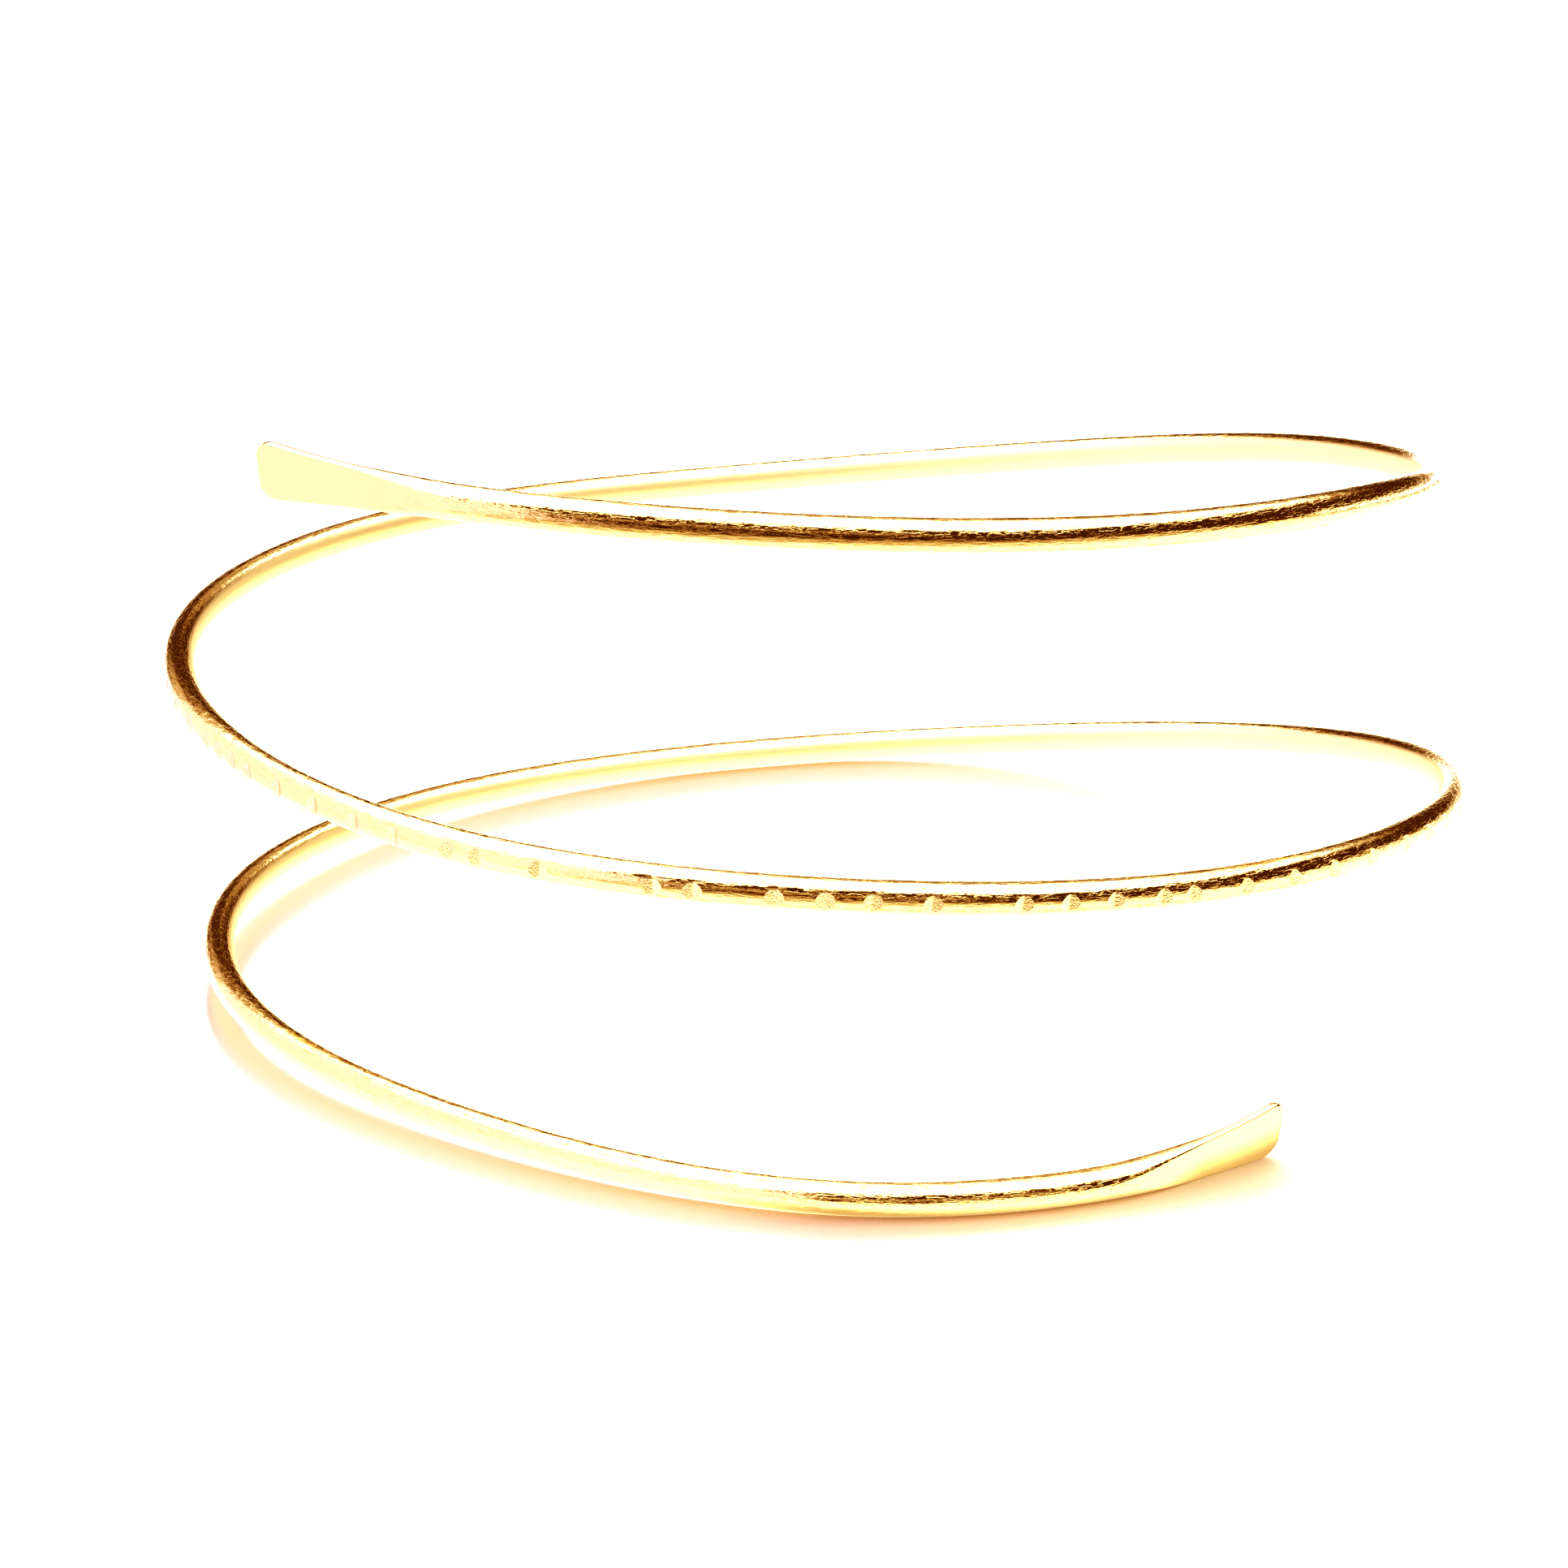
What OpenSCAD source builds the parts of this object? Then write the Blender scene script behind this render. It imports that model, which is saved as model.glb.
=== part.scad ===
// Upper arm cuff: one polished wire that winds a little over two turns round the arm.
// It stands on its lowest turn, both ends are hammered flat, and a row of small filed
// notches runs along the outer line of the middle turn.

/* [Coil] */
// Radius of the wire's path round the arm
coil_r = 42; // [36:0.5:50]
// Height that the wire's centre line climbs from the lowest turn to the upper end
coil_rise = 43.9; // [36:0.1:56]
// How far the wire winds round the arm, in degrees
wind_angle = 798; // [760:1:830]
// Direction in which the lower end lies from the axis, in degrees from +X
start_angle = 306; // [270:1:340]
// Diameter of the round wire
wire_d = 2.1; // [1.8:0.05:2.8]

/* [Flat ends] */
// Width of each hammered end
paddle_w = 4; // [3.2:0.1:5.5]
// Thickness of each hammered end
paddle_t = 0.5; // [0.4:0.05:0.8]
// How far the outer face of each hammered end leans down, in degrees
lean_angle = 12; // [0:1:18]
// Length over which the round wire spreads into a flat end
flare_l = 15; // [9:0.5:22]
// Radius of the upper corner of each flat end
upper_corner_r = 1.2; // [0.6:0.1:1.5]
// Radius of the lower corner of each flat end
lower_corner_r = 1.3; // [0.6:0.1:1.5]

/* [Notches] */
// Length of each notch along the wire
notch_l = 1.25; // [0.8:0.05:1.5]
// Depth of each notch at its middle
notch_depth = 0.22; // [0.12:0.01:0.35]
// Mean distance from the middle of one notch to the next
notch_gap = 4; // [3.4:0.1:4.8]
// Where the first notch lies, in degrees wound from the lower end
notch_start_angle = 280; // [270:1:300]
// How far below the outward direction the notches face, in degrees
notch_tilt_angle = 5; // [0:1:12]

/* [Hidden] */

// Columns of the course table
REACH_SHARE = 0;
HEIGHT_SHARE = 1;
// Rows of the wire's course at equal steps of the winding, from the lower end to the
// upper end: reach from the axis as a share of coil_r, height as a share of coil_rise.
COURSE = [
    [1.07, 0],
    [1.115, -0.002],
    [0.945, 0.006],
    [0.97, 0.014],
    [1, 0.03],
    [0.98, 0.012],
    [0.945, 0],
    [1.05, -0.004],
    [1.105, 0.094],
    [1.005, 0.222],
    [0.935, 0.296],
    [0.93, 0.35],
    [0.96, 0.41],
    [1.01, 0.436],
    [1.025, 0.478],
    [1.04, 0.49],
    [1.015, 0.488],
    [0.975, 0.472],
    [0.945, 0.534],
    [0.93, 0.646],
    [0.93, 0.728],
    [0.95, 0.846],
    [1, 0.898],
    [1.085, 0.958],
    [1.225, 1],
];
last_row = len(COURSE) - 1;

// Distances from each notch to the next, as shares of notch_gap
NOTCH_GAPS = [
    1, 1, 1, 1, 1, 1, 1, 1, 0.9, 1, 1.2, 1.1, 1, 1.05, 1.05, 0.55, 0.85, 0.75, 0.75,
    1.4, 0.9, 0.7, 0.75, 1.2, 0.6, 1.75, 1, 0.5, 1, 0.8, 0.9, 0.9, 0.85, 0.5, 0.5, 0.5,
    0.8, 0.8, 0.9, 0.9,
];

// Places of the rings across a corner of a flat end, as shares of the corner's radius
TIP_SHARES = [0, 0.06, 0.18, 0.36, 0.6, 0.8, 1];
// Degrees in a whole turn
full_turn = 360;
// Sides of the wire's section
sides = 18;
// Farthest that two rings of the plain wire stand apart
ring_step = 3;
// Rings along the spread from round to flat
flare_rings = 12;
// Points at which the wire's length is measured
measure_steps = 480;
// Thickness of the very edge of a flat end, as a share of its own thickness
edge_share = 0.5;
// How far the edge's rounding reaches from the end, as a share of its thickness
edge_reach_share = 0.3;
// Where a flat end begins to thicken and where it is round again, as shares of flare_l
thin_share = 0.33;
full_share = 0.85;
// Length of a notch's side lines where the section turns away from it, as a share of its length
heel_share = 0.3;

wire_r = wire_d / 2;
corner_r = max(upper_corner_r, lower_corner_r);

function mix(from, to, t) = from + (to - from) * t;
function unit(v) = v / norm(v);
function smooth(t) = let (c = max(0, min(1, t))) pow(c, 2) * (3 - 2 * c);

// Rows run on past both ends in a straight line
function row(i) =
    i < 0 ? 2 * COURSE[0] - COURSE[1]
    : i > last_row ? 2 * COURSE[last_row] - COURSE[last_row - 1]
    : COURSE[i];

// Smooth blend of the rows at place u, in row steps from the lower end
function blended(u) =
    let (i = min(floor(u), last_row - 1), t = u - i)
    (pow(1 - t, 3) * row(i - 1)
        + (3 * pow(t, 3) - 6 * pow(t, 2) + 4) * row(i)
        + (-3 * pow(t, 3) + 3 * pow(t, 2) + 3 * t + 1) * row(i + 1)
        + pow(t, 3) * row(i + 2)) / 6;

// Centre line of the wire at place u, with the arm's axis at x = y = 0
function course(u) =
    let (c = blended(u), a = start_angle - wind_angle * u / last_row)
    [coil_r * c[REACH_SHARE] * cos(a), coil_r * c[REACH_SHARE] * sin(a), coil_rise * c[HEIGHT_SHARE]];

measured = [for (i = [0 : measure_steps]) course(i * last_row / measure_steps)];

// Pairs of length along the wire and place u
length_table = [
    for (i = 0, s = 0; i <= measure_steps;
        s = s + (i < measure_steps ? norm(measured[i + 1] - measured[i]) : 0), i = i + 1)
    [s, i * last_row / measure_steps]
];
wire_l = length_table[measure_steps][0];
function place(s) = lookup(s, length_table);

// Pairs of degrees wound and length along the wire
wound_table = [for (pair = length_table) [wind_angle * pair[1] / last_row, pair[0]]];
first_notch = lookup(notch_start_angle, wound_table);
notches = [
    for (i = 0, s = first_notch; i <= len(NOTCH_GAPS);
        s = s + (i < len(NOTCH_GAPS) ? NOTCH_GAPS[i] * notch_gap : 0), i = i + 1)
    s
];

// Half sizes of the section at length s. The flat ends fan out towards their tips:
// narrowing and roundness run from 0 at a tip to 1 where the round wire begins.
function from_tip(s) = min(s, wire_l - s);
function flare_share(s) = min(1, from_tip(s) / flare_l);
function narrowing(s) = 1 - pow(1 - flare_share(s), 2);
function roundness(s) = smooth((flare_share(s) - thin_share) / (full_share - thin_share));
function half_width(s) = mix(paddle_w / 2, wire_r, narrowing(s));
function half_thickness(s) = mix(paddle_t / 2, wire_r, roundness(s)) * edge_thinning(from_tip(s));
function edge_thinning(d) =
    let (t = min(1, d / (edge_reach_share * paddle_t)))
    mix(edge_share, 1, sqrt(1 - pow(1 - t, 2)));
function corner_cut(d, r) = d < r ? r - sqrt(pow(r, 2) - pow(r - d, 2)) : 0;
function above(s) = half_width(s) - corner_cut(from_tip(s), upper_corner_r);
function below(s) = half_width(s) - corner_cut(from_tip(s), lower_corner_r);

// How far the section leans: its top outward, its outer face down
function lean(s) = lean_angle * (1 - roundness(s));

// The lower flat end is wider than the wire, so its centre line rises to stand on its edge
function lift(s) = s < wire_l / 2 ? half_width(s) * cos(lean(s)) - wire_r : 0;

// Axes of the section at place u: along the wire, outward from the coil, and up
function along(u) =
    let (h = 0.02)
    unit(course(min(u + h, last_row)) - course(max(u - h, 0)));
function outward(t) = unit([-t.y, t.x, 0]);

// One corner of the section at length s, at angle a from the outward direction. It slides
// along the wire, and what stands out past the limit in the notches' direction is cut off.
function corner(s, a, slide, limit) =
    let (
        u = place(s),
        t = along(u),
        level = outward(t),
        upright = cross(t, level),
        n = level * cos(lean(s)) - upright * sin(lean(s)),
        b = upright * cos(lean(s)) + level * sin(lean(s)),
        out = max(-half_thickness(s), min(half_thickness(s), wire_r * cos(a))),
        up = (sin(a) > 0 ? above(s) : below(s)) * sin(a),
        cut = max(0, out * cos(notch_tilt_angle) - up * sin(notch_tilt_angle) - limit)
    )
    course(u) + [0, 0, lift(s)] + slide * t
        + (out - cut * cos(notch_tilt_angle)) * n
        + (up + cut * sin(notch_tilt_angle)) * b;

// Farther out than any corner of the section, so that nothing is cut off
no_limit = paddle_w;
function plain_ring(s) =
    [for (k = [0 : sides - 1]) corner(s, full_turn * k / sides, 0, no_limit)];

// Ring where a notch's flat face meets the round wire: side is -1 before the notch, 1 after
function notch_reach(a) =
    max(heel_share, 1 - (1 - cos(a + notch_tilt_angle)) * wire_r / notch_depth);
function notch_edge(s, side) =
    [for (k = [0 : sides - 1])
        let (a = full_turn * k / sides)
        corner(s, a, side * notch_l / 2 * notch_reach(a), no_limit)];
function notch_floor(s) =
    [for (k = [0 : sides - 1]) corner(s, full_turn * k / sides, 0, wire_r - notch_depth)];

// Lengths of the rings strictly between two places, no farther apart than step
function between(from, to, step) =
    let (n = ceil((to - from) / step))
    n < 2 ? [] : [for (i = [1 : n - 1]) mix(from, to, i / n)];

tip_lengths = [for (share = TIP_SHARES) share * corner_r];
flare_lengths = between(corner_r, flare_l, (flare_l - corner_r) / flare_rings);
lower_lengths = concat(tip_lengths, flare_lengths, [flare_l]);
upper_lengths = [for (i = [len(lower_lengths) - 1 : -1 : 0]) wire_l - lower_lengths[i]];

// Plain stretches of wire: before, between and after the notches
stretch_starts = concat([flare_l], [for (s = notches) s + notch_l / 2]);
stretch_ends = concat([for (s = notches) s - notch_l / 2], [wire_l - flare_l]);

rings = concat(
    [for (s = lower_lengths) plain_ring(s)],
    [for (i = [0 : len(stretch_starts) - 1]) each concat(
        [for (s = between(stretch_starts[i], stretch_ends[i], ring_step)) plain_ring(s)],
        i < len(notches)
            ? [notch_edge(notches[i], -1), notch_floor(notches[i]), notch_edge(notches[i], 1)]
            : []
    )],
    [for (s = upper_lengths) plain_ring(s)]
);
ring_count = len(rings);
skin = [for (ring = rings) each ring];

// The cuff stands on z = 0, and the middle of its outline lies on the Z axis
xs = [for (p = skin) p.x];
ys = [for (p = skin) p.y];
zs = [for (p = skin) p.z];
base_middle = [(min(xs) + max(xs)) / 2, (min(ys) + max(ys)) / 2, min(zs)];

// Triangles between one ring and the next, and a closing face at each end
side_faces = [
    for (j = [0 : ring_count - 2], k = [0 : sides - 1])
        let (
            a = j * sides + k,
            b = j * sides + (k + 1) % sides,
            c = a + sides,
            d = b + sides
        )
        each [[a, d, b], [a, c, d]]
];
start_face = [for (k = [0 : sides - 1]) k];
end_face = [for (k = [sides - 1 : -1 : 0]) (ring_count - 1) * sides + k];

module spiral_wire() {
    color("goldenrod")
        translate(-base_middle)
            polyhedron(points = skin, faces = concat(side_faces, [start_face, end_face]));
}

spiral_wire();
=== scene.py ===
"""Upper arm cuff of polished gold-toned wire, standing on a pale glossy table."""

import math

import bpy
import numpy as np
from mathutils import Matrix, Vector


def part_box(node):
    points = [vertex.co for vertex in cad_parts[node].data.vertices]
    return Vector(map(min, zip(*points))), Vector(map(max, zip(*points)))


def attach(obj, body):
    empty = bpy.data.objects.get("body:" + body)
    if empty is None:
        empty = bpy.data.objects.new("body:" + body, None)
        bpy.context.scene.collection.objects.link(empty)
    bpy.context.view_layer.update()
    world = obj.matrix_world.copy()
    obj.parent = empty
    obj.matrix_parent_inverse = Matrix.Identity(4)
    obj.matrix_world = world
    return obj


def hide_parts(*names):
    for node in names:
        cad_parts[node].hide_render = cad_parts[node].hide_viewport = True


bl_info = {
    "name": "Upper arm cuff",
    "version": (1, 0, 0),
    "blender": (4, 5, 0),
    "location": "View3D > Sidebar > Arm cuff",
    "description": "Makes a spiral arm cuff of polished wire and its photo stage",
    "category": "Add Mesh",
}

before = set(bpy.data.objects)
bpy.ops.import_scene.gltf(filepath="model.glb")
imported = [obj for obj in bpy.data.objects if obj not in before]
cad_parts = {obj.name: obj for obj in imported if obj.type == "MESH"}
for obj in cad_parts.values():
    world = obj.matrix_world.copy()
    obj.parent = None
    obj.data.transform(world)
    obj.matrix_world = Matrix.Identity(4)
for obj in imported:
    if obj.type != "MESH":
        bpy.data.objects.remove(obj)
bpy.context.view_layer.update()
WIRE_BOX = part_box("spiral_wire")

# The wire's course at equal steps of the winding, from the lower end to the upper end:
# reach from the arm's axis as a share of coil_r, height as a share of coil_rise
COURSE = np.array([
    (1.07, 0.0),
    (1.115, -0.002),
    (0.945, 0.006),
    (0.97, 0.014),
    (1.0, 0.03),
    (0.98, 0.012),
    (0.945, 0.0),
    (1.05, -0.004),
    (1.105, 0.094),
    (1.005, 0.222),
    (0.935, 0.296),
    (0.93, 0.35),
    (0.96, 0.41),
    (1.01, 0.436),
    (1.025, 0.478),
    (1.04, 0.49),
    (1.015, 0.488),
    (0.975, 0.472),
    (0.945, 0.534),
    (0.93, 0.646),
    (0.93, 0.728),
    (0.95, 0.846),
    (1.0, 0.898),
    (1.085, 0.958),
    (1.225, 1.0),
])
LAST_ROW = len(COURSE) - 1

# Distances from each notch to the next, as shares of notch_gap
NOTCH_GAPS = [
    1, 1, 1, 1, 1, 1, 1, 1, 0.9, 1, 1.2, 1.1, 1, 1.05, 1.05, 0.55, 0.85, 0.75, 0.75,
    1.4, 0.9, 0.7, 0.75, 1.2, 0.6, 1.75, 1, 0.5, 1, 0.8, 0.9, 0.9, 0.85, 0.5, 0.5, 0.5,
    0.8, 0.8, 0.9, 0.9,
]

# How the wire is divided: sides of its section, rings along it, points that measure it
SIDES = 64
TIP_RINGS = 14
FLARE_RINGS = 30
RING_STEP = 0.0008
MEASURE_STEPS = 480
# The very edge of a flat end: its thickness and its rounding's reach, as shares of paddle_t
EDGE_SHARE = 0.5
EDGE_REACH = 0.3
# How squarely a flat end's section turns at its upper and lower edge
EDGE_POWER = 5
# Where a flat end begins to thicken and where it is round again, as shares of flare_l
THIN_SHARE = 0.33
FULL_SHARE = 0.85
# Length of a notch's side lines where the section turns away, as a share of its length
HEEL_SHARE = 0.3
# A ring's part in a notch, which is also the way that its points slide along the wire
NOTCH_START = -1
NOTCH_FLOOR = 0
NOTCH_END = 1
NO_NOTCH = 9


class CuffSizes(bpy.types.PropertyGroup):
    """Sizes of the wound wire."""

    coil_r: bpy.props.FloatProperty(
        name="Coil radius",
        description="Radius of the wire's path round the arm",
        default=0.042,
        unit="LENGTH",
    )
    coil_rise: bpy.props.FloatProperty(
        name="Coil rise",
        description="Height that the wire climbs from the lowest turn to the upper end",
        default=0.0439,
        unit="LENGTH",
    )
    wind_angle: bpy.props.FloatProperty(
        name="Winding",
        description="How far the wire winds round the arm",
        default=math.radians(798),
        subtype="ANGLE",
    )
    start_angle: bpy.props.FloatProperty(
        name="Start",
        description="Direction of the lower end from the axis",
        default=math.radians(306),
        subtype="ANGLE",
    )
    wire_d: bpy.props.FloatProperty(
        name="Wire diameter",
        description="Diameter of the round wire",
        default=0.0021,
        unit="LENGTH",
    )
    paddle_w: bpy.props.FloatProperty(
        name="Flat end width",
        description="Width of each hammered end",
        default=0.004,
        unit="LENGTH",
    )
    paddle_t: bpy.props.FloatProperty(
        name="Flat end thickness",
        description="Thickness of each hammered end",
        default=0.0005,
        unit="LENGTH",
    )
    lean_angle: bpy.props.FloatProperty(
        name="Lean",
        description="How far the outer face of each hammered end leans down",
        default=math.radians(12),
        subtype="ANGLE",
    )
    flare_l: bpy.props.FloatProperty(
        name="Flare length",
        description="Length over which the round wire spreads into a flat end",
        default=0.015,
        unit="LENGTH",
    )
    upper_corner_r: bpy.props.FloatProperty(
        name="Upper corner radius",
        description="Radius of the upper corner of each flat end",
        default=0.0012,
        unit="LENGTH",
    )
    lower_corner_r: bpy.props.FloatProperty(
        name="Lower corner radius",
        description="Radius of the lower corner of each flat end",
        default=0.0013,
        unit="LENGTH",
    )
    notch_l: bpy.props.FloatProperty(
        name="Notch length",
        description="Length of each notch along the wire",
        default=0.00125,
        unit="LENGTH",
    )
    notch_depth: bpy.props.FloatProperty(
        name="Notch depth",
        description="Depth of each notch at its middle",
        default=0.00022,
        unit="LENGTH",
    )
    notch_gap: bpy.props.FloatProperty(
        name="Notch gap",
        description="Mean distance from one notch to the next",
        default=0.004,
        unit="LENGTH",
    )
    notch_start_angle: bpy.props.FloatProperty(
        name="First notch",
        description="Where the first notch lies, as an angle wound from the lower end",
        default=math.radians(280),
        subtype="ANGLE",
    )
    notch_tilt_angle: bpy.props.FloatProperty(
        name="Notch tilt",
        description="How far below the outward direction the notches face",
        default=math.radians(5),
        subtype="ANGLE",
    )


class GoldFinish(bpy.types.PropertyGroup):
    """Colours and polish of the gold-toned wire."""

    gold: bpy.props.FloatVectorProperty(
        name="Gold",
        description="Colour of the polished metal",
        default=(1.0, 0.77, 0.45),
        size=3,
        subtype="COLOR",
    )
    amber: bpy.props.FloatVectorProperty(
        name="Amber",
        description="Colour of the drawn streaks in the metal",
        default=(1.0, 0.66, 0.28),
        size=3,
        subtype="COLOR",
    )
    # Paler colour of the wire's inner side: a painted sheen that stands in for soft pale
    # highlights on the far turns
    satin_and_painted_sheen: bpy.props.FloatVectorProperty(
        name="Satin metal",
        description="Colour of the satin inner side of the wire",
        default=(1.0, 0.84, 0.6),
        size=3,
        subtype="COLOR",
    )
    filed: bpy.props.FloatVectorProperty(
        name="Filed metal",
        description="Colour of the freshly filed notches",
        default=(0.95, 0.78, 0.54),
        size=3,
        subtype="COLOR",
    )
    polish: bpy.props.FloatProperty(
        name="Polish",
        description="Roughness of the smooth metal",
        default=0.06,
        subtype="FACTOR",
    )
    streak_depth: bpy.props.FloatProperty(
        name="Streak depth",
        description="Height of the fine streaks that run along the wire",
        default=0.000016,
        unit="LENGTH",
    )


class StageLook(bpy.types.PropertyGroup):
    """Light, table and camera."""

    table: bpy.props.FloatVectorProperty(
        name="Table",
        description="Colour of the pale table",
        default=(0.385, 0.256, 0.25),
        size=3,
        subtype="COLOR",
    )
    # Yellower body colour at the front right: a painted warm tint of the shade under the wire
    warm_shade_table: bpy.props.FloatVectorProperty(
        name="Worn table",
        description="Colour of the table where its polish is worn duller",
        default=(0.385, 0.286, 0.2),
        size=3,
        subtype="COLOR",
    )
    light: bpy.props.FloatProperty(
        name="Light",
        description="Strength of the overhead light",
        default=3.0,
    )
    room: bpy.props.FloatVectorProperty(
        name="Room",
        description="Colour of the unlit room on the viewer's side",
        default=(0.055, 0.05, 0.045),
        size=3,
        subtype="COLOR",
    )
    room_edge: bpy.props.FloatVectorProperty(
        name="Room edge",
        description="Colour of the room where light begins to fall on it",
        default=(0.38, 0.33, 0.24),
        size=3,
        subtype="COLOR",
    )
    table_glow: bpy.props.FloatVectorProperty(
        name="Table glow",
        description="Light of the table as the wire mirrors it",
        default=(2.3, 2.2, 1.9),
        size=3,
    )
    window: bpy.props.FloatVectorProperty(
        name="Window",
        description="Light of the window on the viewer's left",
        default=(1.6, 1.28, 1.62),
        size=3,
    )
    grade: bpy.props.FloatVectorProperty(
        name="Grade",
        description="Power by which the picture's red, green and blue mid tones are deepened",
        default=(1.0, 1.5, 2.0),
        size=3,
    )


# Sockets of a Mix node that mixes colours
MIX_SHARE = 0
MIX_FIRST = 6
MIX_SECOND = 7
MIX_RESULT = 2


class Value:
    """A socket that takes part in Python sums; every step adds the node that works it out."""

    def __init__(self, wiring, socket):
        self.wiring = wiring
        self.socket = socket

    def math(self, operation, *others):
        return self.wiring.math(operation, self, *others)

    def __add__(self, other):
        return self.math("ADD", other)

    __radd__ = __add__

    def __sub__(self, other):
        return self.math("SUBTRACT", other)

    def __rsub__(self, other):
        return self.wiring.math("SUBTRACT", other, self)

    def __mul__(self, other):
        return self.math("MULTIPLY", other)

    __rmul__ = __mul__

    def step(self, start, end):
        """0 below start, 1 above end, smooth between."""
        return self.wiring.pick(
            "ShaderNodeMapRange",
            {"interpolation_type": "SMOOTHSTEP"},
            {"Value": self, "From Min": start, "From Max": end},
        )


class Wiring:
    """Builds one node tree, which starts empty."""

    def __init__(self, tree):
        self.tree = tree
        tree.nodes.clear()

    def node(self, kind, settings=None, values=None):
        """Adds a node: first its settings, then the values or links of its sockets."""
        made = self.tree.nodes.new(kind)
        for name, value in (settings or {}).items():
            setattr(made, name, value)
        for name, value in (values or {}).items():
            self.feed(made.inputs[name], value)
        return made

    def feed(self, socket, value):
        if isinstance(value, Value):
            self.tree.links.new(value.socket, socket)
        elif socket.type == "RGBA":
            socket.default_value = (*value, 1.0)
        else:
            socket.default_value = value

    def pick(self, kind, settings=None, values=None, output=0):
        """Adds a node and gives one of its outputs."""
        return Value(self, self.node(kind, settings, values).outputs[output])

    def math(self, operation, *parts):
        return self.pick(
            "ShaderNodeMath", {"operation": operation}, dict(enumerate(parts))
        )

    def split(self, vector):
        """The x, y and z of a place or a direction."""
        made = self.node("ShaderNodeSeparateXYZ", None, {"Vector": vector})
        return [Value(self, socket) for socket in made.outputs]

    def mark(self, name, output):
        """What the mesh carries under a name."""
        return self.pick("ShaderNodeAttribute", {"attribute_name": name}, output=output)

    def noise(self, vector, grains, detail, roughness):
        """Cloudy values between 0 and 1, with so many grains per metre in each direction."""
        stretched = self.pick(
            "ShaderNodeVectorMath", {"operation": "MULTIPLY"}, {0: vector, 1: grains}
        )
        return self.pick(
            "ShaderNodeTexNoise",
            {"noise_dimensions": "3D"},
            {"Vector": stretched, "Scale": 1.0, "Detail": detail, "Roughness": roughness},
        )

    def blend(self, share, first, second):
        """Mixes two colours by a share from 0 to 1."""
        return self.pick(
            "ShaderNodeMix",
            {"data_type": "RGBA"},
            {MIX_SHARE: share, MIX_FIRST: first, MIX_SECOND: second},
            MIX_RESULT,
        )

    def emission(self, colour):
        return self.pick("ShaderNodeEmission", None, {"Color": colour, "Strength": 1.0})

    def mix_shaders(self, share, first, second):
        return self.pick("ShaderNodeMixShader", None, {0: share, 1: first, 2: second})


def new_material(name):
    """An empty material and the wiring of its nodes."""
    material = bpy.data.materials.new(name)
    material.use_nodes = True
    return material, Wiring(material.node_tree)


def link(made):
    bpy.context.scene.collection.objects.link(made)
    return made


def mix(start, end, share):
    return start + (end - start) * share


def unit(vectors):
    return vectors / np.linalg.norm(vectors, axis=-1, keepdims=True)


def smooth(share):
    share = np.clip(share, 0, 1)
    return share**2 * (3 - 2 * share)


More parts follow.
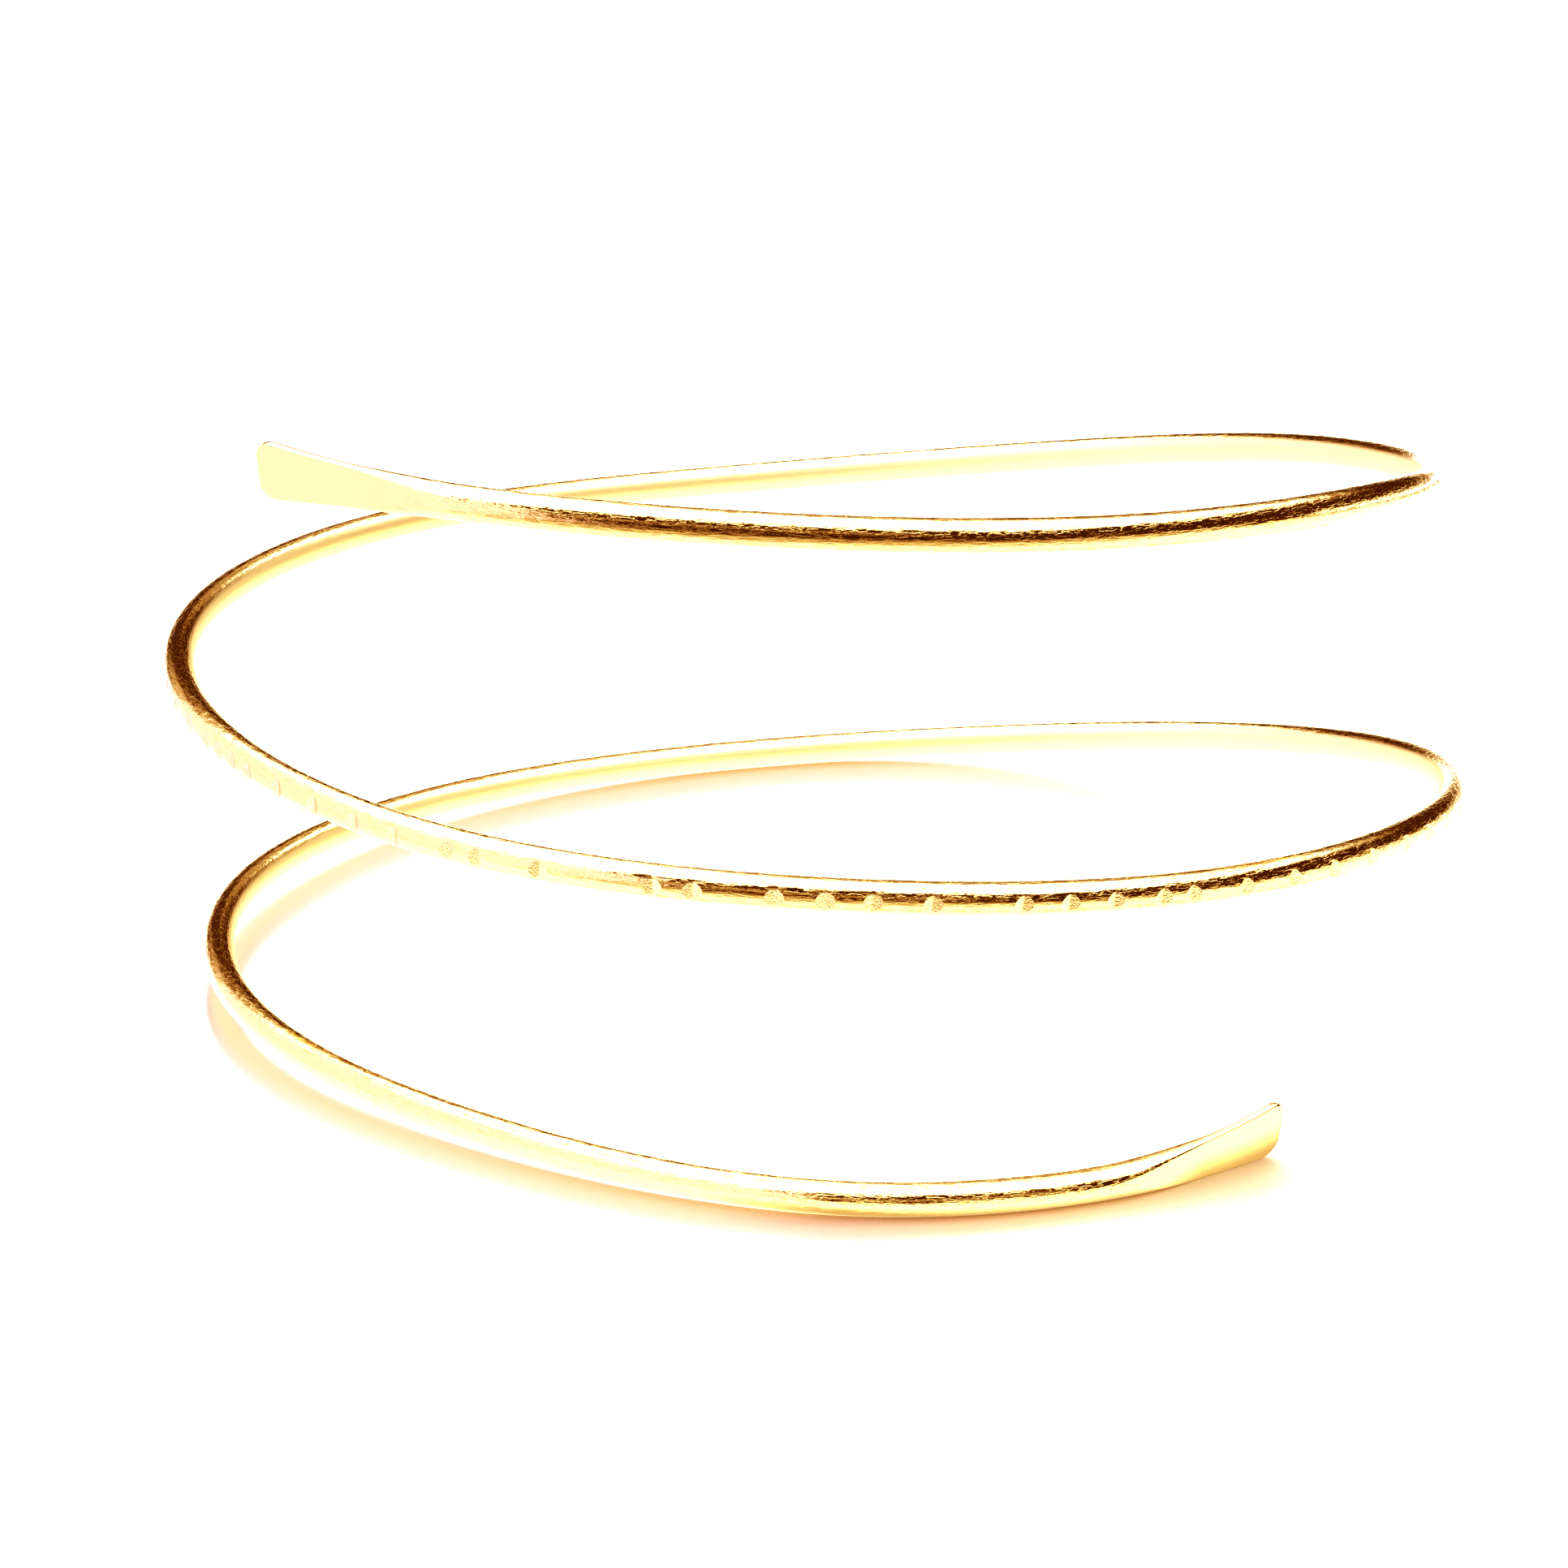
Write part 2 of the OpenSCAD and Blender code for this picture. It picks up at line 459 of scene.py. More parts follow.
class WireCourse:
    """The centre line of the wire and its section, found by length along the wire."""

    def __init__(self, sizes):
        self.sizes = sizes
        self.wire_r = sizes.wire_d / 2
        before = 2 * COURSE[0] - COURSE[1]
        after = 2 * COURSE[-1] - COURSE[-2]
        self.rows = np.vstack([before, COURSE, after])
        self.places = np.linspace(0, LAST_ROW, MEASURE_STEPS + 1)
        chords = np.diff(self.course(self.places), axis=0)
        steps = np.linalg.norm(chords, axis=1)
        self.lengths = np.concatenate([[0.0], np.cumsum(steps)])
        self.wire_l = self.lengths[-1]

    def course(self, u):
        """Centre line at place u, in row steps from the lower end."""
        i = np.minimum(np.floor(u), LAST_ROW - 1).astype(int)
        t = (u - i)[:, None]
        share = (
            (1 - t) ** 3 * self.rows[i]
            + (3 * t**3 - 6 * t**2 + 4) * self.rows[i + 1]
            + (-3 * t**3 + 3 * t**2 + 3 * t + 1) * self.rows[i + 2]
            + t**3 * self.rows[i + 3]
        ) / 6
        angle = self.sizes.start_angle - self.sizes.wind_angle * u / LAST_ROW
        reach = self.sizes.coil_r * share[:, 0]
        return np.stack(
            [
                reach * np.cos(angle),
                reach * np.sin(angle),
                self.sizes.coil_rise * share[:, 1],
            ],
            axis=1,
        )

    def place(self, s):
        return np.interp(s, self.lengths, self.places)

    def notches(self):
        """Lengths along the wire at which the notches lie."""
        wound = self.sizes.wind_angle * self.places / LAST_ROW
        first = np.interp(self.sizes.notch_start_angle, wound, self.lengths)
        gaps = np.array(NOTCH_GAPS) * self.sizes.notch_gap
        return first + np.concatenate([[0.0], np.cumsum(gaps)])

    def axes(self, s):
        """Directions along the wire, outward from the coil, and up."""
        u = self.place(s)
        reach = 0.02
        ahead = self.course(np.minimum(u + reach, LAST_ROW))
        behind = self.course(np.maximum(u - reach, 0))
        along = unit(ahead - behind)
        outward = unit(np.stack([-along[:, 1], along[:, 0], 0 * u], axis=1))
        return along, outward, np.cross(along, outward)

    def roundness(self, s):
        """0 on the flat ends, 1 on the round wire."""
        share = np.minimum(s, self.wire_l - s) / self.sizes.flare_l
        return smooth((share - THIN_SHARE) / (FULL_SHARE - THIN_SHARE))

    def section(self, s, angles):
        """Section points out and up from the centre line, one row for each length."""
        sizes = self.sizes
        tip = np.minimum(s, self.wire_l - s)
        narrowing = 1 - (1 - np.minimum(1, tip / sizes.flare_l)) ** 2
        roundness = self.roundness(s)
        t = np.minimum(1, tip / (EDGE_REACH * sizes.paddle_t))
        thinning = mix(EDGE_SHARE, 1, np.sqrt(1 - (1 - t) ** 2))
        half_width = mix(sizes.paddle_w / 2, self.wire_r, narrowing)
        thick = (mix(sizes.paddle_t / 2, self.wire_r, roundness) * thinning)[:, None]
        above = half_width - corner_cut(tip, sizes.upper_corner_r)
        below = half_width - corner_cut(tip, sizes.lower_corner_r)
        height = np.where(np.sin(angles)[None, :] > 0, above[:, None], below[:, None])
        round_out = self.wire_r * np.cos(angles)[None, :]
        clipped_out = np.clip(round_out, -thick, thick)
        far_out = np.abs(round_out)
        powers = far_out**EDGE_POWER + thick**EDGE_POWER
        edged_out = np.copysign(far_out * thick / powers ** (1 / EDGE_POWER), round_out)
        out = mix(edged_out, clipped_out, roundness[:, None])
        up = height * np.sin(angles)[None, :]
        lean = sizes.lean_angle * (1 - roundness)
        lift = np.where(s < self.wire_l / 2, half_width * np.cos(lean) - self.wire_r, 0)
        cos_lean = np.cos(lean)[:, None]
        sin_lean = np.sin(lean)[:, None]
        return out * cos_lean + up * sin_lean, up * cos_lean - out * sin_lean, lift


def corner_cut(tip, radius):
    """How much a rounded corner takes off the width at a distance from the tip."""
    inner = np.maximum(0, radius**2 - (radius - np.minimum(tip, radius)) ** 2)
    return radius - np.sqrt(inner)


def stretch_rings(start, end, step):
    """Lengths strictly between two places, no farther apart than step."""
    count = math.ceil((end - start) / step)
    return np.linspace(start, end, count + 1)[1:-1]


def ring_plan(course):
    """Rings along the wire: their lengths, and their parts in a notch."""
    sizes = course.sizes
    corner_r = max(sizes.upper_corner_r, sizes.lower_corner_r)
    tip = corner_r * np.linspace(0, 1, TIP_RINGS) ** 2
    flare = np.linspace(corner_r, sizes.flare_l, FLARE_RINGS + 1)[1:]
    lower = np.concatenate([tip, flare])
    rings = [(s, NO_NOTCH) for s in lower]
    start = sizes.flare_l
    for notch in course.notches():
        end = notch - sizes.notch_l / 2
        rings += [(s, NO_NOTCH) for s in stretch_rings(start, end, RING_STEP)]
        rings += [(notch, part) for part in (NOTCH_START, NOTCH_FLOOR, NOTCH_END)]
        start = notch + sizes.notch_l / 2
    end = course.wire_l - sizes.flare_l
    rings += [(s, NO_NOTCH) for s in stretch_rings(start, end, RING_STEP)]
    rings += [(course.wire_l - s, NO_NOTCH) for s in lower[::-1]]
    lengths, parts = zip(*rings)
    return np.array(lengths), np.array(parts)


def wire_points(course):
    """The wire's skin: its points, their places on the straight wire, which of them are
    filed, each ring's part in a notch, and each point's roundness."""
    sizes = course.sizes
    s, part = ring_plan(course)
    angles = np.arange(SIDES) * 2 * math.pi / SIDES
    out, up, lift = course.section(s, angles)
    in_notch = part != NO_NOTCH
    turned = np.cos(angles + sizes.notch_tilt_angle)[None, :]
    reach = np.maximum(HEEL_SHARE, 1 - (1 - turned) * course.wire_r / sizes.notch_depth)
    slide = np.where(in_notch, part, 0)[:, None] * sizes.notch_l / 2 * reach
    tilt_out = math.cos(sizes.notch_tilt_angle)
    tilt_up = -math.sin(sizes.notch_tilt_angle)
    facing = out * tilt_out + up * tilt_up
    floor = course.wire_r - sizes.notch_depth
    cut = np.where((part == NOTCH_FLOOR)[:, None], np.maximum(0, facing - floor), 0)
    out = out - cut * tilt_out
    up = up - cut * tilt_up
    along, outward, upward = course.axes(s)
    centre = course.course(course.place(s))
    centre[:, 2] += lift
    points = (
        centre[:, None, :]
        + slide[:, :, None] * along[:, None, :]
        + out[:, :, None] * outward[:, None, :]
        + up[:, :, None] * upward[:, None, :]
    )
    straight = np.stack([out, up, s[:, None] + slide], axis=2)
    cut_here = in_notch[:, None] & (facing > floor)
    return points, straight, cut_here, part, np.repeat(course.roundness(s), SIDES)


def wire_faces(ring_count):
    """Quads between neighbouring rings, as corner numbers."""
    j, k = np.meshgrid(np.arange(ring_count - 1), np.arange(SIDES), indexing="ij")
    a = j * SIDES + k
    b = j * SIDES + (k + 1) % SIDES
    quads = np.stack([a, b, b + SIDES, a + SIDES], axis=2).reshape(-1, 4)
    return quads.tolist()


def fit_box(points, box):
    """Shifts the skin onto the CAD wire's box, and takes up what its finer rings add."""
    low = points.min(axis=0)
    high = points.max(axis=0)
    goal_low = np.array(box[0])
    goal_high = np.array(box[1])
    return goal_low + (points - low) * (goal_high - goal_low) / (high - low)


def build_wire(sizes):
    """The wire's mesh, marked with what its material needs."""
    course = WireCourse(sizes)
    points, straight, cut_here, part, roundness = wire_points(course)
    ring_count = len(points)
    skin = fit_box(points.reshape(-1, 3), WIRE_BOX)
    quads = wire_faces(ring_count)
    start_cap = list(range(SIDES))[::-1]
    last_ring = (ring_count - 1) * SIDES
    end_cap = [last_ring + k for k in range(SIDES)]
    mesh = bpy.data.meshes.new("gold_spiral_wire")
    mesh.from_pydata(skin.tolist(), [], quads + [start_cap, end_cap])
    mesh.validate()
    mark_straight = mesh.attributes.new("straight_wire", "FLOAT_VECTOR", "POINT")
    mark_straight.data.foreach_set("vector", straight.reshape(-1))
    mark_round = mesh.attributes.new("round_wire", "FLOAT", "POINT")
    mark_round.data.foreach_set("value", roundness)
    flat_cut = cut_here.reshape(-1)
    corners = np.array(quads)
    between_edges = np.repeat(np.isin(part[:-1], (NOTCH_START, NOTCH_FLOOR)), SIDES)
    in_cut = flat_cut[corners].all(axis=1) & between_edges
    filed = np.concatenate([in_cut.astype(float), [0.0, 0.0]])
    mark_filed = mesh.attributes.new("filed", "FLOAT", "FACE")
    mark_filed.data.foreach_set("value", filed)
    mesh.polygons.foreach_set("use_smooth", [True] * len(mesh.polygons))
    ends = np.empty(len(mesh.edges) * 2, dtype=np.int64)
    mesh.edges.foreach_get("vertices", ends)
    ends = ends.reshape(-1, 2)
    same_ring = ends[:, 0] // SIDES == ends[:, 1] // SIDES
    sharp = same_ring & flat_cut[ends].all(axis=1)
    mark_sharp = mesh.attributes.get("sharp_edge")
    if mark_sharp is None:
        mark_sharp = mesh.attributes.new("sharp_edge", "BOOLEAN", "EDGE")
    mark_sharp.data.foreach_set("value", sharp)
    mesh.update()
    return link(bpy.data.objects.new("gold_spiral_wire", mesh))


# Grains per metre in the metal: out from the wire's middle, up, and along the wire
STREAK_GRAINS = (5000.0, 5000.0, 1000.0)
PATCH_GRAINS = (1500.0, 1500.0, 500.0)
GRIT_GRAINS = (8000.0, 8000.0, 8000.0)
# Noise levels between which a streak turns dull, a streak rises and grit becomes a scratch
DULL_LEVELS = (0.52, 0.7)
RIDGE_LEVELS = (0.44, 0.56)
SCRATCH_LEVELS = (0.5, 0.62)
# How far inward from the wire's middle its satin side, which also carries a painted sheen,
# begins and is full
SATIN_AND_SHEEN_REACH = (0.00055, 0.00095)
# How much the satin side softens the streaks, shows its paler colour (a painted sheen) and
# roughens the metal
SATIN_SOFTENING = 0.7
PAINTED_SHEEN_SHARE = 0.8
SATIN_ROUGHNESS = 0.55
# How much amber shows in a dull streak and in a scratch
DULL_AMBER = 0.35
SCRATCH_AMBER = 0.5
# Roughness of the filed metal, and what its grit adds
FILED_ROUGHNESS = 0.15
GRIT_ROUGHNESS = 0.2
# Heights of the patches, the ridges and the grit, and of the streaks where none are drawn,
# as shares of the streaks' own height
PATCH_HEIGHT = 0.3
RIDGE_HEIGHT = 0.4
GRIT_HEIGHT = 2.5
UNDRAWN_HEIGHT = 0.05


def gold_material(finish):
    """Polished gold tone with fine streaks drawn along the wire, and paler filed notches."""
    material, wiring = new_material("polished_gold_tone")
    straight = wiring.mark("straight_wire", "Vector")
    filed = wiring.mark("filed", "Fac")
    round_wire = wiring.mark("round_wire", "Fac")
    streaks = wiring.noise(straight, STREAK_GRAINS, detail=3.0, roughness=0.6)
    patches = wiring.noise(straight, PATCH_GRAINS, detail=2.0, roughness=0.5)
    grit = wiring.noise(straight, GRIT_GRAINS, detail=2.0, roughness=0.5)
    # The inner side is satin and painted paler as a sheen, the outer side is polished
    inward = wiring.split(straight)[0] * -1
    satin_and_painted_sheen = inward.step(*SATIN_AND_SHEEN_REACH) * round_wire
    drawn = (1 - filed) * round_wire * (1 - satin_and_painted_sheen * SATIN_SOFTENING)
    dull = streaks.step(*DULL_LEVELS) * drawn
    metal = wiring.blend(dull * DULL_AMBER, finish.gold, finish.amber)
    metal = wiring.blend(satin_and_painted_sheen * PAINTED_SHEEN_SHARE, metal, finish.satin_and_painted_sheen)
    scratches = grit.step(*SCRATCH_LEVELS) * SCRATCH_AMBER
    scratched = wiring.blend(scratches, finish.filed, finish.amber)
    metal = wiring.blend(filed, metal, scratched)
    smooth_rough = satin_and_painted_sheen * SATIN_ROUGHNESS + finish.polish
    filed_rough = grit * GRIT_ROUGHNESS + FILED_ROUGHNESS
    rough = mix(smooth_rough, filed_rough, filed)
    ridges = streaks + patches * PATCH_HEIGHT + streaks.step(*RIDGE_LEVELS) * RIDGE_HEIGHT
    height = ridges * mix(UNDRAWN_HEIGHT, 1.0, drawn) + grit * filed * GRIT_HEIGHT
    bump = wiring.pick(
        "ShaderNodeBump",
        None,
        {"Strength": 1.0, "Distance": finish.streak_depth, "Height": height},
    )
    shader = wiring.pick(
        "ShaderNodeBsdfPrincipled",
        None,
        {"Base Color": metal, "Metallic": 1.0, "Roughness": rough, "Normal": bump},
    )
    wiring.node("ShaderNodeOutputMaterial", None, {"Surface": shader})
    return material


# Where the table's polish turns dull and its body turns yellower, a painted warm tint of the
# shade under the wire, to the right of the axis and in front of it
WORN_AND_WARM_SHADE_RIGHT = (-0.004, 0.022)
WORN_AND_WARM_SHADE_FRONT = (0.03, 0.038)
# Roughness of the gloss where it is polished and where it is worn
POLISHED_GLOSS = 0.22
WORN_GLOSS = 0.6
# Share of the gloss in what the table shows
GLOSS_SHARE = 0.22


def table_material(look):
    """Pale acrylic: a soft white body under a gloss that mirrors what stands on it."""
    material, wiring = new_material("pale_gloss_table")
    place = wiring.pick("ShaderNodeTexCoord", output="Object")
    x, y = wiring.split(place)[:2]
    # The polish is worn duller at the front right, and the yellower body colour there is a
    # painted warm tint of the shade under the wire
    worn_and_warm_shade = x.step(*WORN_AND_WARM_SHADE_RIGHT) * (y * -1).step(*WORN_AND_WARM_SHADE_FRONT)
    body = wiring.mix_shaders(
        worn_and_warm_shade,
        wiring.pick("ShaderNodeBsdfDiffuse", None, {"Color": look.table}),
        wiring.pick("ShaderNodeBsdfDiffuse", None, {"Color": look.warm_shade_table}),
    )
    gloss = wiring.pick(
        "ShaderNodeBsdfGlossy",
        {"distribution": "GGX"},
        {"Color": (1.0, 1.0, 1.0), "Roughness": mix(POLISHED_GLOSS, WORN_GLOSS, worn_and_warm_shade)},
    )
    surface = wiring.mix_shaders(GLOSS_SHARE, body, gloss)
    wiring.node("ShaderNodeOutputMaterial", None, {"Surface": surface})
    return material


def backdrop_material():
    """Even white light."""
    material, wiring = new_material("white_backdrop")
    white = wiring.emission((1.0, 1.0, 1.0))
    wiring.node("ShaderNodeOutputMaterial", None, {"Surface": white})
    return material


# The studio light by direction. Turns are in degrees from the viewer, positive to the
# viewer's left, and climbs are in degrees above the horizon. What is sideways, deep or high
# is a part of a direction of length 1.
LEFT_BACK_TURN = (134, 150)
LEFT_BACK_GLEAM = 0.03
# The overhead light's lower edge: its slope in front and on the right, its height behind
ROOF_FRONT_SLOPE = -1.07
ROOF_RIGHT_SLOPE = 0.8
ROOF_BACK_HEIGHT = (0.4, 0.5)
ROOF_SOFTNESS = (0.04, 0.12)
ROOF_SOFTNESS_DEPTH = (0.0, 0.8)
# The line below which the table takes over: its height in front and behind, and its edge
TABLE_LINE_HEIGHT = (-1.3, 0.03)
TABLE_LINE_DEPTH = (-0.4, 0.3)
TABLE_LINE_EDGE = (-0.11, 0.11)
TABLE_GLOW_HEIGHT = (-0.3, -0.12)
# The window on the left, whose top edge slants up away from the viewer
WINDOW_TURN = (19, 24)
WINDOW_TOP_SLOPE = 0.8
WINDOW_TOP_START = 10
WINDOW_TOP_EDGE = (-2.5, 2.5)
WINDOW_TOP_CLIMB = (44, 50)
# The dim gap behind, to the right
FAR_TURN = (152, 162)
FAR_RIGHT = (-0.05, 0.1)
FAR_LOW_CLIMB = (4, 12)
FAR_HIGH_CLIMB = (40, 52)
FAR_DARKNESS = 0.6
# The faint strip of light low in the dark part in front
STRIP_CLIMB = 15.5
STRIP_EDGE = (3, 8)
STRIP_TURN = (-40, -28)
STRIP_LIGHT = 0.5
# Colours that a dark part passes through before it is fully lit
HALF_LIT = (0.8, 0.7, 0.62)
NEARLY_LIT = (1.1, 1.08, 1.2)


def light_room(look):
    """Studio light by direction, with the glow of the lit table below the horizon."""
    world = bpy.data.worlds.new("studio_light")
    bpy.context.scene.world = world
    world.use_nodes = True
    wiring = Wiring(world.node_tree)
    direction = wiring.pick("ShaderNodeTexCoord", output="Generated")
    x, y, z = wiring.split(direction)
    degrees = 180 / math.pi
    climb = z.math("ARCSINE") * degrees
    turn = (x * -1).math("ARCTAN2", y * -1) * degrees
    left_back = turn.step(*LEFT_BACK_TURN)
    # The overhead light ends along a front edge and a right edge
    back_edge = mix(*ROOF_BACK_HEIGHT, left_back)
    side_edges = (y * ROOF_FRONT_SLOPE).math("MAXIMUM", x * ROOF_RIGHT_SLOPE)
    roof = side_edges.math("MAXIMUM", back_edge)
    softness = mix(*ROOF_SOFTNESS, y.step(*ROOF_SOFTNESS_DEPTH))
    under_roof = 1 - (z - roof).step(softness * -1, softness)
    table_line = mix(*TABLE_LINE_HEIGHT, y.step(*TABLE_LINE_DEPTH))
    over_table = (z - table_line).step(*TABLE_LINE_EDGE)
    window_top = turn * WINDOW_TOP_SLOPE + WINDOW_TOP_START
    under_top = 1 - (climb - window_top).step(*WINDOW_TOP_EDGE)
    in_window = turn.step(*WINDOW_TURN) * under_top * (1 - left_back)
    shaded = 1 - left_back * LEFT_BACK_GLEAM
    dark_side = under_roof * over_table * (1 - in_window) * shaded
    far_side = turn.math("ABSOLUTE").step(*FAR_TURN)
    far_height = climb.step(*FAR_LOW_CLIMB) * (1 - climb.step(*FAR_HIGH_CLIMB))
    far_gap = far_side * x.step(*FAR_RIGHT) * far_height * FAR_DARKNESS
    dark = dark_side.math("MAXIMUM", far_gap)
    strip_height = (climb - STRIP_CLIMB).math("ABSOLUTE")
    strip = (1 - strip_height.step(*STRIP_EDGE)) * turn.step(*STRIP_TURN) * (1 - far_side)
    bright = 1 - dark + strip * dark * STRIP_LIGHT
    window = in_window * (1 - climb.step(*WINDOW_TOP_CLIMB))
    overhead = wiring.blend(window, (look.light,) * 3, look.window)
    lit = wiring.blend(1 - z.step(*TABLE_GLOW_HEIGHT), overhead, look.table_glow)
    # From the dark room to full light, over shares of the brightness
    sky = wiring.blend(bright.step(0.0, 0.3), look.room, look.room_edge)
    sky = wiring.blend(bright.step(0.25, 0.6), sky, HALF_LIT)
    sky = wiring.blend(bright.step(0.55, 0.85), sky, NEARLY_LIT)
    sky = wiring.blend(bright.step(0.75, 1.0), sky, lit)
    glow = wiring.pick("ShaderNodeBackground", None, {"Color": sky, "Strength": 1.0})
    wiring.node("ShaderNodeOutputWorld", None, {"Surface": glow})


# The viewer's lens and place, and how far the view turns right, looks down and rolls
LENS_MM = 127.1
SENSOR_MM = 36.0
VIEWER_PLACE = (-0.00757, -0.3504, 0.1296)
VIEW_TURN = math.radians(0.79)
VIEW_DOWN = math.radians(18.43)
VIEW_ROLL = math.radians(0.48)


def place_camera():
    """The viewer stands low in front and a little to the left."""
    camera = link(bpy.data.objects.new("camera", bpy.data.cameras.new("camera")))
    camera.data.sensor_width = SENSOR_MM
    camera.data.lens = LENS_MM
    camera.data.clip_start = 0.01
    camera.data.clip_end = 100.0
    turn = Matrix.Rotation(-VIEW_TURN, 4, "Z")
    pitch = Matrix.Rotation(math.pi / 2 - VIEW_DOWN, 4, "X")
    roll = Matrix.Rotation(-VIEW_ROLL, 4, "Z")
    camera.matrix_world = Matrix.Translation(VIEWER_PLACE) @ turn @ pitch @ roll
    bpy.context.scene.camera = camera


def flat_mesh(name, points, faces, material):
    mesh = bpy.data.meshes.new(name)
    mesh.from_pydata(points, [], faces)
    mesh.materials.append(material)
    return link(bpy.data.objects.new(name, mesh))


def flat_sheet(name, left, right, front, back, height, material):
    """One level rectangle."""
    points = [
        (left, front, height),
        (right, front, height),
        (right, back, height),
        (left, back, height),
    ]
    return flat_mesh(name, points, [(0, 1, 2, 3)], material)


def build_table(look):
    """The pale table; in mirror images the glow card takes its place."""
    half = 4.0
    table = flat_sheet("pale_table", -half, half, -half, half, 0.0, table_material(look))
    table.visible_glossy = False
    return table


# How the light on the table fades: its start and its growth per metre, towards the viewer
# and to the right
FRONT_FADE_START = -0.33
FRONT_FADE_GROWTH = -6.7
RIGHT_FADE_START = -0.8
RIGHT_FADE_GROWTH = 6.0
FADED_LIGHT = (0.8, 0.7, 0.55)
# How far to the left the window begins to light the table, and where it lights it alone
WINDOW_LIT_LEFT = (0.045, 0.065)
# The shade close to the wire: the wire's distance from the axis, the width of the shade's
# edge, where it begins to the right and in front, and its light
SHADE_REACH = 0.0442
SHADE_EDGE = (0.0003, 0.0022)
SHADE_RIGHT = (-0.012, 0.0)
SHADE_FRONT = (0.0, 0.02)
SHADE_LIGHT = (0.85, 0.77, 0.7)


def glow_material(look):
    """The light of the table as the wire mirrors it."""
    material, wiring = new_material("table_glow")
    place = wiring.pick("ShaderNodeTexCoord", output="Object")
    x, y = wiring.split(place)[:2]

    def lay_over(glow, share, colour):
        return wiring.mix_shaders(share, glow, wiring.emission(colour))

    # The light fades towards the viewer and to the right, by three steps over the fade
    front_fade = y * FRONT_FADE_GROWTH + FRONT_FADE_START
    fade = front_fade.math("MAXIMUM", x * RIGHT_FADE_GROWTH + RIGHT_FADE_START)
    glow = wiring.emission(look.table_glow)
    glow = lay_over(glow, fade.step(0.02, 0.12), NEARLY_LIT)
    glow = lay_over(glow, fade.step(0.1, 0.24), FADED_LIGHT)
    glow = lay_over(glow, fade.step(0.3, 0.7), look.room)
    glow = lay_over(glow, (x * -1).step(*WINDOW_LIT_LEFT), look.window)
    # It lies in shade close to the wire in front
    reach = wiring.pick(
        "ShaderNodeVectorMath", {"operation": "LENGTH"}, {0: place}, output="Value"
    )
    from_wire = (reach - SHADE_REACH).math("ABSOLUTE")
    in_front = x.step(*SHADE_RIGHT) * (y * -1).step(*SHADE_FRONT)
    glow = lay_over(glow, (1 - from_wire.step(*SHADE_EDGE)) * in_front, SHADE_LIGHT)
    wiring.node("ShaderNodeOutputMaterial", None, {"Surface": glow})
    return material


def build_glow_card(look):
    """The lit part of the table as the wire mirrors it; the viewer never sees it."""
    card = flat_sheet(
        "table_glow_card",
        left=-0.45,
        right=0.24,
        front=-0.22,
        back=0.35,
        height=-0.0005,
        material=glow_material(look),
    )
    card.visible_camera = False
    card.visible_diffuse = False
    card.visible_shadow = False


def light_table(table):
    """Soft lights on all four sides that fall on the table alone."""
    only_table = bpy.data.collections.new("lit_by_table_lights")
    only_table.objects.link(table)
    distance = 1.3
    height = 1.4
    watts = 46.0
    for side in range(4):
        lamp = bpy.data.lights.new("table_light", "AREA")
        lamp.shape = "RECTANGLE"
        lamp.size = 2 * distance
        lamp.size_y = height
        lamp.energy = watts
        light = link(bpy.data.objects.new("table_light", lamp))
        turn = Matrix.Rotation(side * math.pi / 2, 4, "Z")
        upright = Matrix.Rotation(-math.pi / 2, 4, "X")
        light.matrix_world = turn @ Matrix.Translation((0.0, distance, height / 2)) @ upright
        light.visible_camera = False
        light.light_linking.receiver_collection = only_table


def build_backdrop():
    """A round white wall that only the viewer sees."""
    count = 64
    radius = 3.9
    height = 3.0
    angles = [2 * math.pi * i / count for i in range(count)]
    ring = [(radius * math.cos(a), radius * math.sin(a)) for a in angles]
    points = [(x, y, 0.0) for x, y in ring] + [(x, y, height) for x, y in ring]
    faces = [(i, (i + 1) % count, (i + 1) % count + count, i + count) for i in range(count)]
    wall = flat_mesh("white_backdrop", points, faces, backdrop_material())
    wall.visible_glossy = False
    wall.visible_diffuse = False
    wall.visible_transmission = False
    wall.visible_shadow = False


# Brightness levels at which the picture's curves have a point
GRADE_LEVELS = (0.03, 0.08, 0.16, 0.3, 0.5, 0.75)


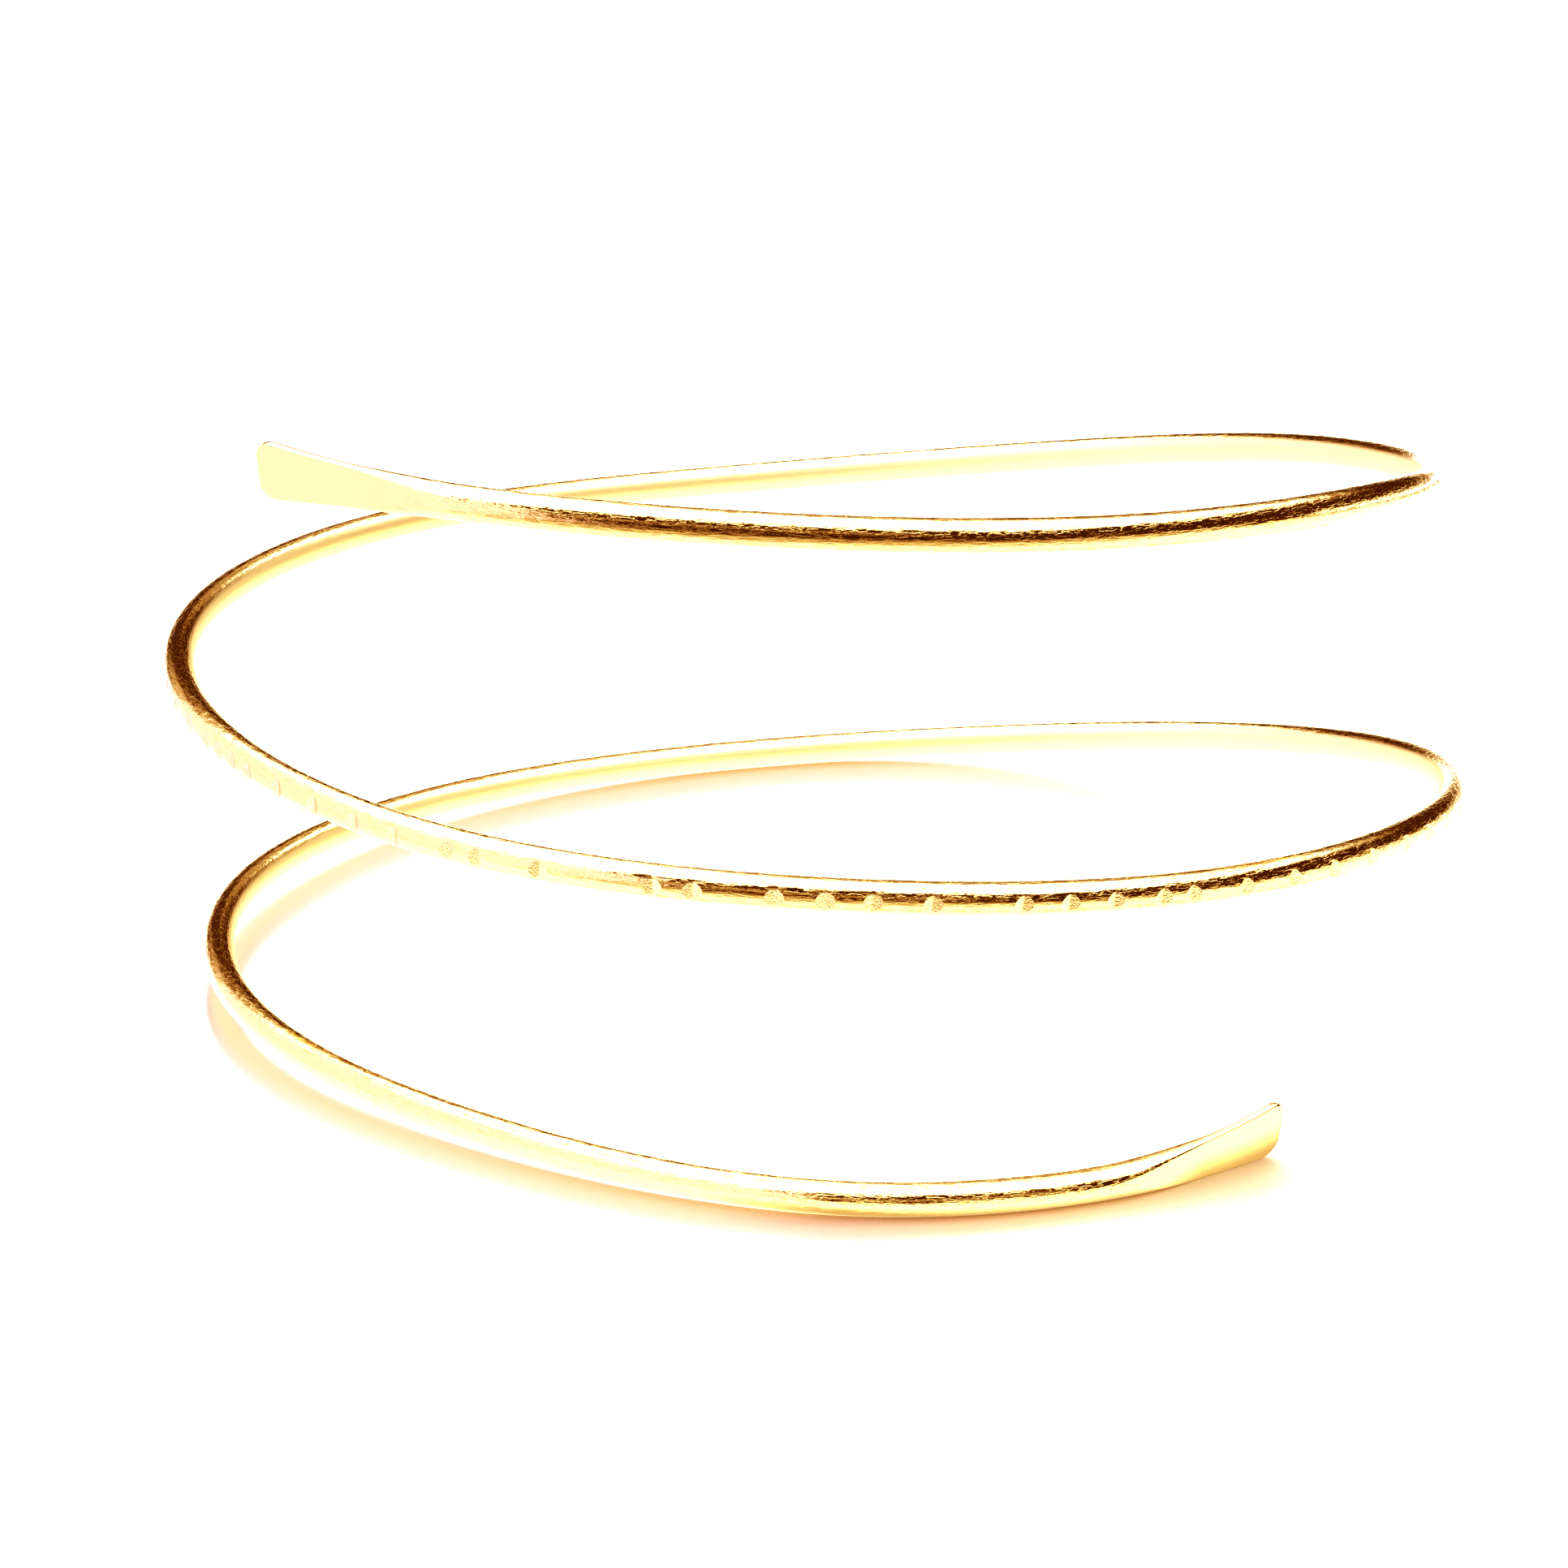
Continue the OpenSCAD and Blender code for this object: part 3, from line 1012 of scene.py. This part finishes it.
def grade(view, look):
    """Deepens the mid tones as a warm, contrasty photo does: green more than red, blue most."""
    view.view_transform = "Standard"
    view.look = "None"
    view.use_curve_mapping = True
    for channel, power in enumerate(look.grade):
        curve = view.curve_mapping.curves[channel]
        for level in GRADE_LEVELS:
            curve.points.new(level, level**power)
    view.curve_mapping.update()


class CUFF_OT_wire(bpy.types.Operator):
    """Make the wound wire with its flat ends and filed notches."""

    bl_idname = "cuff.wire"
    bl_label = "Gold spiral wire"

    def execute(self, context):
        wire = build_wire(context.scene.cuff_sizes)
        wire.data.materials.append(gold_material(context.scene.gold_finish))
        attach(wire, "root")
        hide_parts("spiral_wire")
        return {"FINISHED"}


class CUFF_OT_stage(bpy.types.Operator):
    """Make the pale table, the studio light and the camera."""

    bl_idname = "cuff.stage"
    bl_label = "Photo stage"

    def execute(self, context):
        look = context.scene.stage_look
        light_table(build_table(look))
        build_glow_card(look)
        build_backdrop()
        light_room(look)
        place_camera()
        grade(context.scene.view_settings, look)
        return {"FINISHED"}


class CUFF_PT_panel(bpy.types.Panel):
    """Sizes, finishes and makers of the arm cuff."""

    bl_idname = "CUFF_PT_panel"
    bl_label = "Arm cuff"
    bl_space_type = "VIEW_3D"
    bl_region_type = "UI"
    bl_category = "Arm cuff"

    def draw(self, context):
        layout = self.layout
        scene = context.scene
        for group in (scene.cuff_sizes, scene.gold_finish, scene.stage_look):
            column = layout.column()
            for name in group.__annotations__:
                column.prop(group, name)
        layout.operator(CUFF_OT_wire.bl_idname)
        layout.operator(CUFF_OT_stage.bl_idname)


CLASSES = (
    CuffSizes,
    GoldFinish,
    StageLook,
    CUFF_OT_wire,
    CUFF_OT_stage,
    CUFF_PT_panel,
)


def register():
    for part in CLASSES:
        bpy.utils.register_class(part)
    bpy.types.Scene.cuff_sizes = bpy.props.PointerProperty(type=CuffSizes)
    bpy.types.Scene.gold_finish = bpy.props.PointerProperty(type=GoldFinish)
    bpy.types.Scene.stage_look = bpy.props.PointerProperty(type=StageLook)


def unregister():
    del bpy.types.Scene.stage_look
    del bpy.types.Scene.gold_finish
    del bpy.types.Scene.cuff_sizes
    for part in reversed(CLASSES):
        bpy.utils.unregister_class(part)


def main():
    register()
    bpy.ops.cuff.wire()
    bpy.ops.cuff.stage()


if __name__ == "__main__":
    main()
